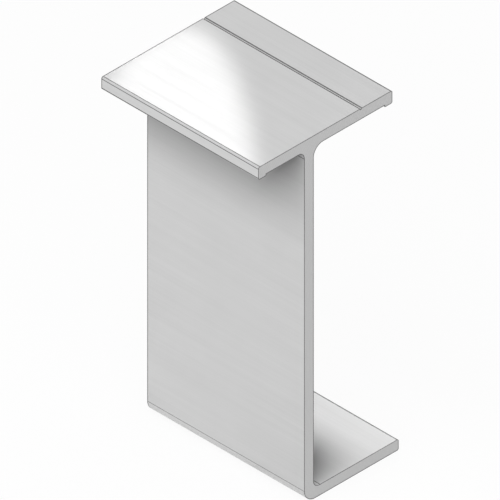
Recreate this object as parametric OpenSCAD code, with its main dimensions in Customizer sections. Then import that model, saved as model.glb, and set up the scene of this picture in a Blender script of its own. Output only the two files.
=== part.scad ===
// Extruded aluminium T-profile with a foot. A web carries a flange across its top, set off centre,
// and a foot to one side at the bottom. All is one section, extruded and sawn to length.
// X runs across the section towards the foot, Y along the stock, Z up. The piece stands on its foot.

/* [Section] */
// Overall height of the section
section_h = 100; // [60:5:160]
// Thickness of the web, the flange and the foot
wall_t = 3; // [2:0.5:5]
// Reach of the flange behind the web's outer face, away from the foot
flange_back = 14.6; // [12:0.1:40]
// Reach of the flange from the web's outer face, on the side of the foot
flange_front = 28; // [22:1:60]
// Reach of the foot from the web's outer face
foot_reach = 30; // [15:1:60]

/* [Lips under the flange edges] */
// Width of each lip
lip_w = 2.5; // [1.5:0.5:4]
// Depth of each lip below the flange
lip_d = 0.5; // [0.3:0.1:1.5]
// Round on each lip's inner corner
lip_r = 0.3; // [0.1:0.1:0.3]

/* [Marking groove on the top] */
// Distance of the groove's bottom from the flange's front edge
groove_inset = 10; // [5:0.5:12]
// Width of the groove's mouth
groove_w = 0.6; // [0.4:0.1:1]
// Depth of the groove
groove_d = 0.3; // [0.2:0.1:0.5]

/* [Rounds and fillets] */
// Round on the heel, the outer corner between web and foot
heel_r = 3.5; // [1:0.5:5]
// Fillet between web and foot
foot_fillet_r = 2; // [0.5:0.5:4]
// Fillet between web and flange, on the side of the foot
front_fillet_r = 3; // [0.5:0.5:5]
// Fillet between web and flange, away from the foot
back_fillet_r = 2; // [0.5:0.5:5]
// Round on the long edges of the flange and the foot
edge_r = 0.5; // [0.2:0.1:0.8]

/* [Length] */
// Length of the piece along the stock
piece_l = 50; // [10:5:500]

/* [Hidden] */
$fn = 64;

// Underside of the flange, and lowest line of its lips
flange_z = section_h - wall_t;
lip_z = flange_z - lip_d;
// The web's outer face, placed so that the section is centred across X
web_x = (flange_back - foot_reach) / 2;
// How far a fillet bites into its walls, and how far a cut runs past a face
bite = wall_t / 3;
past = 1;

// Puts a corner piece at a point of the section, turned by quarter turns
module at_corner(x, z, quarters) {
    translate([x, z]) rotate(90 * quarters) children();
}

// Fills the inner corner between a wall on the left and a floor
module fillet(r) {
    difference() {
        translate([-bite, -bite]) square(r + bite);
        translate([r, r]) circle(r);
    }
}

// What a round of radius r takes off the lower left corner of a bar
module round_cut(r) {
    difference() {
        translate([-past, -past]) square(r + past);
        translate([r, r]) circle(r);
    }
}

// Web, foot and flange as plain bars, with the two lips
module walls() {
    square([wall_t, section_h]);
    square([foot_reach, wall_t]);
    translate([-flange_back, flange_z]) square([flange_back + flange_front, wall_t]);
    for (x = [-flange_back, flange_front - lip_w])
        translate([x, lip_z]) square([lip_w, lip_d + bite]);
}

module fillets() {
    at_corner(wall_t, wall_t, 0) fillet(foot_fillet_r);
    at_corner(wall_t, flange_z, 3) fillet(front_fillet_r);
    at_corner(0, flange_z, 2) fillet(back_fillet_r);
}

module round_cuts() {
    at_corner(0, 0, 0) round_cut(heel_r);
    at_corner(foot_reach, 0, 1) round_cut(edge_r);
    at_corner(foot_reach, wall_t, 2) round_cut(edge_r);
    at_corner(-flange_back, section_h, 3) round_cut(edge_r);
    at_corner(flange_front, section_h, 2) round_cut(edge_r);
    at_corner(-flange_back, lip_z, 0) round_cut(edge_r);
    at_corner(flange_front, lip_z, 1) round_cut(edge_r);
    at_corner(lip_w - flange_back, lip_z, 1) round_cut(lip_r);
    at_corner(flange_front - lip_w, lip_z, 0) round_cut(lip_r);
}

// V cut along the top, a line to drill by
module marking_groove() {
    translate([flange_front - groove_inset, section_h])
        polygon([[0, -groove_d], [groove_w / 2, 0], [groove_w / 2, past], [-groove_w / 2, past], [-groove_w / 2, 0]]);
}

module section() {
    difference() {
        union() {
            walls();
            fillets();
        }
        round_cuts();
        marking_groove();
    }
}

module t_profile() {
    color([0.80, 0.80, 0.81])
        translate([web_x, 0, 0]) rotate([90, 0, 0]) linear_extrude(piece_l, center = true) section();
}

t_profile();
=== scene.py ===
import math

import bmesh
import bpy
from mathutils import Matrix, Vector


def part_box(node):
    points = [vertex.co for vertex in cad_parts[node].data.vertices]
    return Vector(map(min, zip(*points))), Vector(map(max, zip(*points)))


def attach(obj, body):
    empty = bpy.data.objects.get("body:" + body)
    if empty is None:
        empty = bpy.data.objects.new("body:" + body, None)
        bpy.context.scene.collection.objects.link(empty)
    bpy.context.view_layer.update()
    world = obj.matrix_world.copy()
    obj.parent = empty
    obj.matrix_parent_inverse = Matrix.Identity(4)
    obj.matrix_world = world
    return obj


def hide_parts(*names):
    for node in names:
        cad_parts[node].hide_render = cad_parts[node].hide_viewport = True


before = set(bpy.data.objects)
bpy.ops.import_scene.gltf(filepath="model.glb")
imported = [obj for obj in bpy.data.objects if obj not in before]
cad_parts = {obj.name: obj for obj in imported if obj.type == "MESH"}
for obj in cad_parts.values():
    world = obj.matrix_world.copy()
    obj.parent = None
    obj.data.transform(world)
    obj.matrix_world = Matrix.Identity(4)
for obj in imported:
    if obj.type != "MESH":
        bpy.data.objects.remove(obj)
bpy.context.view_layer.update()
mm = 0.001
noiseMiddle = 0.5  # about the mean of a noise, which goes from 0 to 1
print("frame loaded")


class Wire:  # one output of a node; sums written with it become Math nodes
    def __init__(self, tree, socket):
        self.tree = tree
        self.socket = socket

    def other(self, name):  # another output of the same node
        return Wire(self.tree, self.socket.node.outputs[name])

    def maths(self, operation, *others):  # this number comes first
        return self.tree.maths(operation, self, *others)

    def __add__(self, value):
        return self.maths("ADD", value)

    def __radd__(self, value):
        return self.maths("ADD", value)

    def __sub__(self, value):
        return self.maths("SUBTRACT", value)

    def __rsub__(self, value):
        return self.tree.maths("SUBTRACT", value, self)

    def __mul__(self, value):
        return self.maths("MULTIPLY", value)

    def __rmul__(self, value):
        return self.maths("MULTIPLY", value)

    def __truediv__(self, value):
        return self.maths("DIVIDE", value)

    def __pow__(self, value):
        return self.maths("POWER", value)


class Tree:  # the nodes of one material or of the world
    def __init__(self, owner):
        owner.use_nodes = True
        self.nodes = owner.node_tree.nodes
        self.links = owner.node_tree.links
        self.nodes.clear()

    def add(self, kind, settings, inputs, output=0):
        node = self.nodes.new(kind)
        for name, value in settings.items():
            setattr(node, name, value)
        pairs = inputs.items() if isinstance(inputs, dict) else enumerate(inputs)
        for key, value in pairs:
            if isinstance(value, Wire):
                self.links.new(value.socket, node.inputs[key])
            else:
                node.inputs[key].default_value = value
        return Wire(self, node.outputs[output]) if node.outputs else None

    def maths(self, operation, *values):
        return self.add("ShaderNodeMath", {"operation": operation}, values)

    def scaled(self, vector, factors):
        return self.add("ShaderNodeVectorMath", {"operation": "MULTIPLY"}, [vector, factors])

    def toned(self, colour, tone):  # the colour times a number that changes over the surface
        return self.add("ShaderNodeVectorMath", {"operation": "SCALE"}, {0: colour[:3], "Scale": tone})

    def noise(self, vector, detail):
        return self.add("ShaderNodeTexNoise", {}, {"Vector": vector, "Scale": 1, "Detail": detail})

    def ramp(self, value, start, end, first, last, curve="LINEAR"):  # first up to start, last from end on
        inputs = {"Value": value, "From Min": start, "From Max": end, "To Min": first, "To Max": last}
        return self.add("ShaderNodeMapRange", {"interpolation_type": curve}, inputs)

    def bump(self, height, distance):
        return self.add("ShaderNodeBump", {}, {"Strength": 1, "Distance": distance, "Height": height})

    def seenRays(self):  # 1 for what the camera, the metal or glass sees, 0 for the light on a surface
        path = self.add("ShaderNodeLightPath", {}, {}, "Is Camera Ray")
        return path + path.other("Is Glossy Ray") + path.other("Is Transmission Ray")

    def close(self, shader):
        self.add("ShaderNodeOutputMaterial", {}, {"Surface": shader})


def newMaterial(name):
    material = bpy.data.materials.new(name)
    return material, Tree(material)


def grey(level):  # a grey as it shows on screen, 0 to 255, as a colour for a node
    share = level / 255
    light = share / 12.92 if share <= 0.04045 else ((share + 0.055) / 1.055) ** 2.4
    return (light, light, light, 1)


# The profile: one section, swept along the stock. Sizes across it start at the web's outer face,
# and heights at the underside of the foot.
profile = {
    "wall": 3 * mm,  # web, flange and foot
    "flangeBack": 14.6 * mm,  # reach behind the web
    "flangeFront": 28 * mm,  # reach on the foot's side
    "lipWidth": 2.5 * mm,
    "lipDepth": 0.5 * mm,
    "lipRound": 0.3 * mm,  # on each lip's inner corner
    "heelRound": 3.5 * mm,
    "footFillet": 2 * mm,
    "frontFillet": 3 * mm,
    "backFillet": 2 * mm,
    "edgeRound": 0.5 * mm,
    "grooveInset": 10 * mm,  # from the flange's front edge to the groove's bottom
    "grooveWidth": 0.6 * mm,
    "grooveDepth": 0.3 * mm,
    "dieLine": 0.11 * mm,  # half the width of the dull line where two faces of the section meet
    "topLine": 0.27 * mm,  # how far it runs down the round where a top face ends
    "heelLine": 0.07 * mm,  # half its width at the heel
    "mouthLine": 0.18 * mm,  # the same at the groove's mouth
    "deburr": 0.03 * mm,  # chamfer round both sawn ends
    "endLine": 0.08 * mm,  # width of the dull line beside the chamfer
    "burrLine": 0.22 * mm,  # width of that line where the saw came out
    "farLine": 0.23 * mm,  # width of the line on the long faces at the far end
    "sawWay": (0.7, -0.7),  # across the section, from where the saw went in to where it came out
    "evenBurr": 0.5,  # share of the burr on faces that run along that way
    "roundStep": math.radians(5),
    "sharpAngle": math.radians(30),  # an edge that turns by more is shaded sharp
}

low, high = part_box("t_profile")
webFace = low.x + profile["flangeBack"]
millFaces, sawnFaces, lineFaces = 0, 1, 2  # places of the three finishes on the piece


def sectionCorners(size, footReach, height):
    # each corner of the section: where it is, its round, half its line's width, and how much of the
    # round's end the line takes; anticlockwise with the foot on the right
    wall, underside = size["wall"], height - size["wall"]
    lipBottom = underside - size["lipDepth"]
    back, front = -size["flangeBack"], size["flangeFront"]
    groove, halfGroove = front - size["grooveInset"], size["grooveWidth"] / 2
    edge, lip = size["edgeRound"], size["lipRound"]
    line, heel, mouth = size["dieLine"], size["heelLine"], size["mouthLine"]
    return [
        (0, 0, size["heelRound"], heel, heel),
        (footReach, 0, edge, line, line),
        (footReach, wall, edge, line, size["topLine"]),
        (wall, wall, size["footFillet"], line, line),
        (wall, underside, size["frontFillet"], line, line),
        (front - size["lipWidth"], underside, 0, line, 0),
        (front - size["lipWidth"], lipBottom, lip, line, line),
        (front, lipBottom, edge, line, line),
        (front, height, edge, line, size["topLine"]),
        (groove + halfGroove, height, 0, mouth, 0),
        (groove, height - size["grooveDepth"], 0, mouth / 2, 0),
        (groove - halfGroove, height, 0, mouth, 0),
        (back, height, edge, line, line),
        (back, lipBottom, edge, line, line),
        (back + size["lipWidth"], lipBottom, lip, line, line),
        (back + size["lipWidth"], underside, 0, line, 0),
        (0, underside, size["backFillet"], line, line),
    ]


def cutStretch(length, lineBefore, lineAfter, step):
    # distances along one straight or round, each with whether a dull line runs there
    marks = [(0, True)]
    if length > lineBefore + lineAfter:
        marks += [(lineBefore, False), (length - lineAfter, True)]
    cuts = []
    for (start, isLine), (end, _) in zip(marks, marks[1:] + [(length, True)]):
        count = math.ceil((end - start) / step)
        cuts += [(start + (end - start) * part / count, isLine) for part in range(count)]
    return cuts


def roundedOutline(corners, roundStep):
    # points round the section, each with the way out of the metal and whether a dull line starts there
    rounds = []
    for number, (x, z, radius, line, lineEnd) in enumerate(corners):
        corner = Vector((x, z))
        arrive = (corner - Vector(corners[number - 1][:2])).normalized()
        leave = (Vector(corners[(number + 1) % len(corners)][:2]) - corner).normalized()
        turn = math.atan2(arrive.cross(leave), arrive.dot(leave))
        reach = radius * math.tan(abs(turn) / 2)
        start, end = corner - arrive * reach, corner + leave * reach
        rounds.append((start, end, arrive, turn, radius, line, lineEnd))
    outline = []
    for number, (start, end, arrive, turn, radius, line, lineEnd) in enumerate(rounds):
        out = Vector((arrive.y, -arrive.x))
        outAfter = Matrix.Rotation(turn, 2) @ out
        outHere = outAfter
        if radius:
            side = math.copysign(radius, turn)
            for distance, isLine in cutStretch(radius * abs(turn), line, lineEnd, radius * roundStep):
                swung = Matrix.Rotation(distance / side, 2) @ out
                outline.append((start + (swung - out) * side, swung, isLine))
        else:
            outHere = (out + outAfter) / (1 + out.dot(outAfter))
        nextStart, *_, nextLine, _ = rounds[(number + 1) % len(rounds)]
        onward = nextStart - end
        for distance, isLine in cutStretch(onward.length, line, nextLine, onward.length):
            point = end + onward.normalized() * distance
            outline.append((point, outAfter if distance else outHere, isLine))
    return outline


def endRings(size):
    # rings of one sawn end, from its middle to its long faces: how far along the stock, how far in from
    # the outline, and how much further in where the saw came out
    burr = size["burrLine"] - size["endLine"]
    return [
        (0, size["deburr"] + size["endLine"], burr),
        (0, size["deburr"], 0),
        (size["deburr"], 0, 0),
    ]


def stockRings(size):  # the same for both ends and the lines beside them, by their place on the stock
    rings = [(low.y + along, inset, burr) for along, inset, burr in endRings(size)]
    rings += [(low.y + size["deburr"] + size["endLine"], 0, 0)]
    rings += [(high.y - size["deburr"] - size["farLine"], 0, 0)]
    return rings + [(high.y - along, inset, burr) for along, inset, burr in reversed(endRings(size))]


def makeProfile(size):
    outline = roundedOutline(sectionCorners(size, high.x - webFace, high.z), size["roundStep"])
    sawWay = Vector(size["sawWay"])
    shape = bmesh.new()
    loops = []
    for y, inset, burr in stockRings(size):
        loop = []
        for point, out, isLine in outline:
            burrShare = min(max(size["evenBurr"] + out.dot(sawWay), 0), 1)
            place = point - out * (inset + burr * burrShare)
            loop.append(shape.verts.new((webFace + place.x, y, place.y)))
        loops.append(loop)
    shape.faces.new(loops[0]).material_index = sawnFaces
    shape.faces.new(reversed(loops[-1])).material_index = sawnFaces
    for band, (near, far) in enumerate(zip(loops, loops[1:])):
        isMiddle = band == len(loops) // 2 - 1
        for number, (point, out, isLine) in enumerate(outline):
            after = (number + 1) % len(outline)
            face = shape.faces.new((near[number], far[number], far[after], near[after]))
            face.material_index = millFaces if isMiddle and not isLine else lineFaces
    for face in shape.faces:
        face.smooth = True
    mesh = bpy.data.meshes.new("profile")
    shape.to_mesh(mesh)
    shape.free()
    mesh.set_sharp_from_angle(angle=size["sharpAngle"])
    piece = bpy.data.objects.new("profile", mesh)
    bpy.context.scene.collection.objects.link(piece)
    return piece


# Painted shade in the inner corners: their colour is darkened where shade falls, and less so toward the
# near end, over a stretch that grows with the distance from the corner.
flangePaintedShade = {  # in both corners under the flange
    "depth": 0.78,  # share of the colour that the painted shade takes in the corner itself
    "full": 0,  # distance from the corner at which it starts to fade
    "reach": 30.5 * mm,  # distance from the corner at which it ends
    "lighterStretch": 1.7 * mm,  # the stretch by the near end where it is lighter, in the corner itself
    "lighterStretchGrowth": 0.72,  # how much longer it is for each length away from the corner
    "lighterEndShare": 0.38,  # what is left of the painted shade at the near end itself
    "thinFrom": 0,  # distance from the near end at which it starts to fade toward the far end
    "thinTo": 50 * mm,
    "thinLeft": 1,  # what is left of it from there on
}
footPaintedShade = {  # in the corner above the foot
    "depth": 0.7,
    "full": 6 * mm,
    "reach": 20.8 * mm,
    "lighterStretch": 2.4 * mm,
    "lighterStretchGrowth": 0.7,
    "lighterEndShare": 0.13,
    "thinFrom": 10 * mm,
    "thinTo": 28 * mm,
    "thinLeft": 0.45,
    "onWeb": 0.25,  # its reach up the web, as a share of its reach on the foot
}


def behindWall(distance):  # a distance from a wall, made very large behind the wall's face
    slack, largeFactor = 0.05 * mm, 1000
    return distance - (distance + slack).maths("MINIMUM", 0) * largeFactor


def cornerShadeTone(tree, wall, ceiling, along, look):
    # 1 away from the corner, less where shade is painted, from the distances to the corner's two faces
    distance = (wall * wall + ceiling * ceiling) ** 0.5
    amount = tree.ramp(distance, look["full"], look["reach"], look["depth"], 0, "SMOOTHSTEP")
    stretch = look["lighterStretch"] + distance * look["lighterStretchGrowth"]
    kept = tree.ramp(along / stretch, 0, 1, look["lighterEndShare"], 1)
    thinned = tree.ramp(along, look["thinFrom"], look["thinTo"], 1, look["thinLeft"])
    return 1 - amount * kept * thinned


def paintedShadeTone(tree, place):
    across = tree.add("ShaderNodeSeparateXYZ", {}, [place], "X")
    along, up = across.other("Y") - low.y, across.other("Z")
    behind = behindWall(webFace - across)
    before = behindWall(across - (webFace + profile["wall"]))
    below = behindWall((high.z - profile["wall"]) - up)
    above = behindWall(up - profile["wall"])
    backCorner = cornerShadeTone(tree, behind, below, along, flangePaintedShade)
    frontCorner = cornerShadeTone(tree, before, below, along, flangePaintedShade)
    footCorner = cornerShadeTone(tree, before, above / footPaintedShade["onWeb"], along, footPaintedShade)
    return backCorner.maths("MINIMUM", frontCorner).maths("MINIMUM", footCorner)


millFinish = {
    "colour": 201,
    "metal": 0.6,
    "roughness": 0.55,
    "lineWidth": 0.35 * mm,  # die lines, which run along the stock
    "lineLength": 60 * mm,
    "lineContrast": 0.15,
    "lineGloss": 0.2,
    "lineHeight": 0.003 * mm,
    "bandWidth": 2.5 * mm,  # broad bands among the lines
    "bandContrast": 0.08,
    "cloudSize": 14 * mm,  # oxide clouds
    "cloudContrast": 0.06,
    "backPaintedShade": 0.15,  # how much darker the round above the flange's back face is: painted shade that takes back part of the lamps' highlight there
}


def backShadeTone(tree, place, look):  # less than 1 on the round above the flange's back face, where shade is painted
    across = tree.add("ShaderNodeSeparateXYZ", {}, [place], "X")
    isBack = across.maths("LESS_THAN", low.x + profile["edgeRound"])
    isTop = across.other("Z").maths("GREATER_THAN", high.z - profile["edgeRound"])
    return 1 - isBack * isTop * look["backPaintedShade"]


def makeMillFinish(look):
    # aluminium as it leaves the die: satin, with fine lines along the stock
    material, tree = newMaterial("mill finish")
    place = tree.add("ShaderNodeTexCoord", {}, {}, "Object")
    line, length = 1 / look["lineWidth"], 1 / look["lineLength"]
    band, cloud = 1 / look["bandWidth"], 1 / look["cloudSize"]
    lines = tree.noise(tree.scaled(place, (line, length, line)), 3) - noiseMiddle
    bands = tree.noise(tree.scaled(place, (band, length, band)), 2) - noiseMiddle
    clouds = tree.noise(tree.scaled(place, (cloud, cloud, cloud)), 2) - noiseMiddle
    tone = 1 + lines * look["lineContrast"] + bands * look["bandContrast"] + clouds * look["cloudContrast"]
    # painted shade in the inner corners and on the round above the flange's back face
    tone = tone * paintedShadeTone(tree, place) * backShadeTone(tree, place, look)
    shader = tree.add("ShaderNodeBsdfPrincipled", {}, {
        "Base Color": tree.toned(grey(look["colour"]), tone),
        "Metallic": look["metal"],
        "Roughness": look["roughness"] + lines * look["lineGloss"],
        "Normal": tree.bump(lines, look["lineHeight"]),
    })
    tree.close(shader)
    return material


sawnEnd = {
    # darker than the mill finish: partly the sawn face's own tone, partly painted shade of the end face
    "colour": 186,
    "metal": 0.6,
    "roughness": 0.55,
    "toothPitch": 0.45 * mm,
    "bladeRadius": 160 * mm,
    "bladeHeight": 40 * mm,  # of the blade's middle above the foot's underside
    "toothWander": 3,  # how far the marks stray from true arcs, in radians of their wave
    "toothContrast": 0.03,
    "toothDepth": 0.004 * mm,
    "wanderSize": 2.5 * mm,
    "grainSize": 0.25 * mm,
    "grainContrast": 0.25,
    "grainGloss": 0.2,
}


def makeSawnEnd(look):
    # cut by a round blade, so its marks are shallow arcs
    material, tree = newMaterial("sawn end")
    place = tree.add("ShaderNodeTexCoord", {}, {}, "Object")
    bladeMiddle = (-look["bladeRadius"], 0, look["bladeHeight"])
    radius = tree.add("ShaderNodeVectorMath", {"operation": "DISTANCE"}, [place, bladeMiddle], "Value")
    wander = tree.noise(tree.scaled(place, (1 / look["wanderSize"],) * 3), 2)
    grain = tree.noise(tree.scaled(place, (1 / look["grainSize"],) * 3), 2) - noiseMiddle
    wave = (radius / look["toothPitch"] * math.tau + wander * look["toothWander"]).maths("SINE")
    tone = 1 + wave * look["toothContrast"] + grain * look["grainContrast"]
    shader = tree.add("ShaderNodeBsdfPrincipled", {}, {
        "Base Color": tree.toned(grey(look["colour"]), tone),
        "Metallic": look["metal"],
        "Roughness": look["roughness"] + grain * look["grainGloss"],
        "Normal": tree.bump(wave, look["toothDepth"]),
    })
    tree.close(shader)
    return material


edgeLine = {
    "colour": 110,
    "metal": 0.6,
    "roughness": 0.6,
    "patchSize": 1.5 * mm,
    "patchContrast": 0.25,
}


def makeEdgeLine(look):
    # dull lines where the die left a round's edge and where the saw left a burr
    material, tree = newMaterial("edge line")
    place = tree.add("ShaderNodeTexCoord", {}, {}, "Object")
    patch = tree.noise(tree.scaled(place, (1 / look["patchSize"],) * 3), 2) - noiseMiddle
    tone = 1 + patch * look["patchContrast"]
    shader = tree.add("ShaderNodeBsdfPrincipled", {}, {
        # the painted corner shade darkens the dull lines too
        "Base Color": tree.toned(grey(look["colour"]), tone * paintedShadeTone(tree, place)),
        "Metallic": look["metal"],
        "Roughness": look["roughness"],
    })
    tree.close(shader)
    return material


piece = makeProfile(profile)
for material in (makeMillFinish(millFinish), makeSawnEnd(sawnEnd), makeEdgeLine(edgeLine)):
    piece.data.materials.append(material)
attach(piece, "root")
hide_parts("t_profile")
print("profile made,", len(piece.data.polygons), "faces")


shot = {
    "pictureSide": 500,
    "pixelsPerMm": 4.448,
    "aimHeight": 53.68 * mm,
    "direction": (1, 1, -1),  # where it looks: an isometric view
    "distance": 600 * mm,
}


def placeCamera(look):
    data = bpy.data.cameras.new("camera")
    data.type = "ORTHO"
    data.ortho_scale = look["pictureSide"] / look["pixelsPerMm"] * mm
    camera = bpy.data.objects.new("camera", data)
    direction = Vector(look["direction"]).normalized()
    camera.location = Vector((0, 0, look["aimHeight"])) - direction * look["distance"]
    camera.rotation_euler = direction.to_track_quat("-Z", "Y").to_euler()
    bpy.context.scene.collection.objects.link(camera)
    bpy.context.scene.camera = camera


placeCamera(shot)
bpy.context.scene.view_settings.view_transform = "Standard"
print("camera placed")


floorLook = {
    "size": 4000 * mm,
    "colour": 245,
    "whiteness": 0.88,  # share of plain white in what the camera and the metal see of it
}


def makeFloor(look):
    mesh = bpy.data.meshes.new("floor")
    shape = bmesh.new()
    bmesh.ops.create_grid(shape, x_segments=1, y_segments=1, size=look["size"] / 2)
    shape.to_mesh(mesh)
    shape.free()
    floor = bpy.data.objects.new("floor", mesh)
    bpy.context.scene.collection.objects.link(floor)
    material, tree = newMaterial("pale floor")
    matt = tree.add("ShaderNodeBsdfDiffuse", {}, {"Color": grey(look["colour"])})
    white = tree.add("ShaderNodeEmission", {}, {"Color": grey(255), "Strength": 1})
    tree.close(tree.add("ShaderNodeMixShader", {}, [tree.seenRays() * look["whiteness"], matt, white]))
    mesh.materials.append(material)


studio = {
    "roomLight": 0.68,  # what the walls give, where 1 is the white that the camera and the metal see
    "aim": (0, 0, 50 * mm),
    "distance": 600 * mm,
    "lampSize": 900 * mm,
    "beamDistance": 400 * mm,
}

# Soft lamps: where each stands, and what it gives to a face turned to it, where 1 is a white room.
lamps = {
    "near corner lamp": {"azimuth": 225, "elevation": 35, "share": 0.45},
    "web side lamp": {"azimuth": 180, "elevation": 40, "share": 0.45},
    "foot side lamp": {"azimuth": 335, "elevation": 20, "share": 0.17},
}

# Narrow lamps that the upward faces mirror towards the camera. Each has the middle of the patch that it
# lights, with X from the web's outer face and Y from the near end, and its long side's turn from X.
beams = {
    "flange highlight": {
        "shape": "ELLIPSE",
        "middle": (-75 * mm, -21.5 * mm, 100 * mm),
        "turn": 39.1,
        "width": 48.9 * mm,
        "length": 132.4 * mm,
        "spread": 1.83,
        "share": 0.2,
    },
    "foot sheen": {
        "shape": "RECTANGLE",
        "middle": (34 * mm, 25 * mm, 3 * mm),
        "turn": 90,
        "width": 24.6 * mm,
        "length": 70 * mm,
        "spread": 3,
        "share": 0.112,
    },
}


def lightRoom(look):
    world = bpy.data.worlds.new("studio")
    bpy.context.scene.world = world
    tree = Tree(world)
    strength = look["roomLight"] + tree.seenRays() * (1 - look["roomLight"])
    light = tree.add("ShaderNodeBackground", {}, {"Color": grey(255), "Strength": strength})
    tree.add("ShaderNodeOutputWorld", {}, {"Surface": light})


def addAreaLamp(name, shape, width, length, power, place, turn):
    data = bpy.data.lights.new(name, "AREA")
    data.shape = shape
    data.size = width
    data.size_y = length
    data.energy = power
    lamp = bpy.data.objects.new(name, data)
    lamp.location = place
    lamp.rotation_euler = turn.to_euler()
    lamp.visible_camera = False
    bpy.context.scene.collection.objects.link(lamp)
    return data


def addLamp(name, look):
    swing = Matrix.Rotation(math.radians(look["azimuth"]), 3, "Z")
    toward = swing @ Matrix.Rotation(math.radians(-look["elevation"]), 3, "Y") @ Vector((1, 0, 0))
    size = studio["lampSize"]
    power = look["share"] * (math.pi * studio["distance"]) ** 2
    place = Vector(studio["aim"]) + toward * studio["distance"]
    addAreaLamp(name, "RECTANGLE", size, size, power, place, toward.to_track_quat("Z", "Y"))


def addBeam(name, look, mirrored, start):
    along = Matrix.Rotation(math.radians(look["turn"]), 3, "Z") @ Vector((1, 0, 0))
    side = along.cross(mirrored).normalized()
    turn = Matrix((side, mirrored.cross(side), mirrored)).transposed()
    width, length = look["width"], look["length"]
    area = width * length * (math.pi / 4 if look["shape"] == "ELLIPSE" else 1)
    power = look["share"] * math.pi * area
    place = start + Vector(look["middle"]) + mirrored * studio["beamDistance"]
    data = addAreaLamp(name, look["shape"], width, length, power, place, turn)
    data.spread = math.radians(look["spread"])


makeFloor(floorLook)
lightRoom(studio)
for name, look in lamps.items():
    addLamp(name, look)
mirrored = Vector(shot["direction"]).normalized().reflect(Vector((0, 0, 1)))
nearEnd = Vector((webFace, low.y, 0))
for name, look in beams.items():
    addBeam(name, look, mirrored, nearEnd)
print("stage and lamps set")
